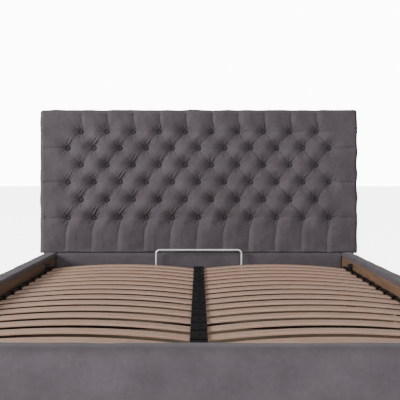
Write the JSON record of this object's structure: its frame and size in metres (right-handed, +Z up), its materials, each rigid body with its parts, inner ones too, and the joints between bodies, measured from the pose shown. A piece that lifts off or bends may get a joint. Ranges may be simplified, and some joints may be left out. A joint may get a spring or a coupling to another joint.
{
  "type": "upholstered lift-up storage bed",
  "caption": "Double bed with a deep diamond-tufted upholstered headboard, padded rails, and a sprung slat base that hinges up over a storage box.",
  "frame": {"origin": "on the floor under the middle of the bed", "axes": "+Z up, +Y towards the headboard, +X to the right seen from the foot end"},
  "size_m": [1.8, 2.263, 1.15],
  "materials": {
    "wood": "matt stained board",
    "timber": "sawn softwood",
    "panel": "thin fibre board",
    "slat": "varnished bent beech",
    "fabric": "grey velour",
    "buttons": "grey velour",
    "cord": "twisted twine",
    "lining": "black dust cloth",
    "webbing": "woven webbing",
    "plastic": "black moulded",
    "steel": "black powder coat",
    "zinc": "zinc plated",
    "bright": "bright plated",
    "strut": "black enamel"
  },
  "bodies": {
    "bed_base": {"headboard_frame": "wood", "headboard_panel": "wood", "headboard_pad": "fabric", "headboard_buttons": "buttons", "button_ties": "cord", "headboard_back_cover": "lining", "headboard_feet": "plastic", "head_rail_board": "wood", "head_rail_pad": "fabric", "left_rail_board": "wood", "right_rail_board": "wood", "left_rail_core": "timber", "right_rail_core": "timber", "left_rail_pad": "fabric", "right_rail_pad": "fabric", "foot_rail_board": "wood", "foot_rail_core": "timber", "foot_rail_pad": "fabric", "corner_brackets": "zinc", "corner_bolts": "zinc", "bed_feet": "plastic", "floor_battens": "timber", "storage_floor_left": "panel", "storage_floor_right": "panel", "frame_rest_blocks": "timber", "left_rail_plate": "steel", "right_rail_plate": "steel", "plate_bolts": "zinc"},
    "slat_base": {"left_side_tube": "steel", "right_side_tube": "steel", "head_tube": "steel", "foot_tube": "steel", "center_beam": "steel", "cross_tubes": "steel", "tube_plugs": "plastic", "slats_left": "slat", "slats_right": "slat", "slat_caps_left": "plastic", "slat_caps_right": "plastic", "slat_caps_center": "plastic", "mattress_retainer": "bright", "retainer_bolts": "zinc", "left_pivot_arm": "steel", "right_pivot_arm": "steel", "arm_bolts": "zinc", "strut_brackets": "steel", "lift_strap": "webbing", "strap_rivets": "zinc"},
    "left_cylinder": {"left_gas_cylinder": "strut"},
    "right_cylinder": {"right_gas_cylinder": "strut"},
    "left_rod": {"left_gas_rod": "bright"},
    "right_rod": {"right_gas_rod": "bright"}
  },
  "joints": [
    {"name": "base_lift", "type": "hinge", "parent": "bed_base", "child": "slat_base", "pos_m": [0, 0.7525, 0.3], "axis": [-1, 0, 0], "range_deg": [0, 40]},
    {"name": "left_strut_swing", "type": "hinge", "parent": "bed_base", "child": "left_cylinder", "pos_m": [-0.779, 0.7115, 0.0963], "axis": [-1, 0, 0], "range_deg": [0, 20.5]},
    {"name": "left_strut_slide", "type": "slide", "parent": "left_cylinder", "child": "left_rod", "axis": [0, -0.7861, 0.6181], "range_m": [0, 0.119]},
    {"name": "right_strut_swing", "type": "hinge", "parent": "bed_base", "child": "right_cylinder", "pos_m": [0.779, 0.7115, 0.0963], "axis": [-1, 0, 0], "range_deg": [0, 20.5]},
    {"name": "right_strut_slide", "type": "slide", "parent": "right_cylinder", "child": "right_rod", "axis": [0, -0.7861, 0.6181], "range_m": [0, 0.119]}
  ],
  "couplings": [
    {"joint": "left_strut_swing", "follows": "base_lift", "ratio": 0.5057},
    {"joint": "left_strut_slide", "follows": "base_lift", "m_per_rad": 0.169},
    {"joint": "right_strut_swing", "follows": "base_lift", "ratio": 0.5057},
    {"joint": "right_strut_slide", "follows": "base_lift", "m_per_rad": 0.169}
  ]
}
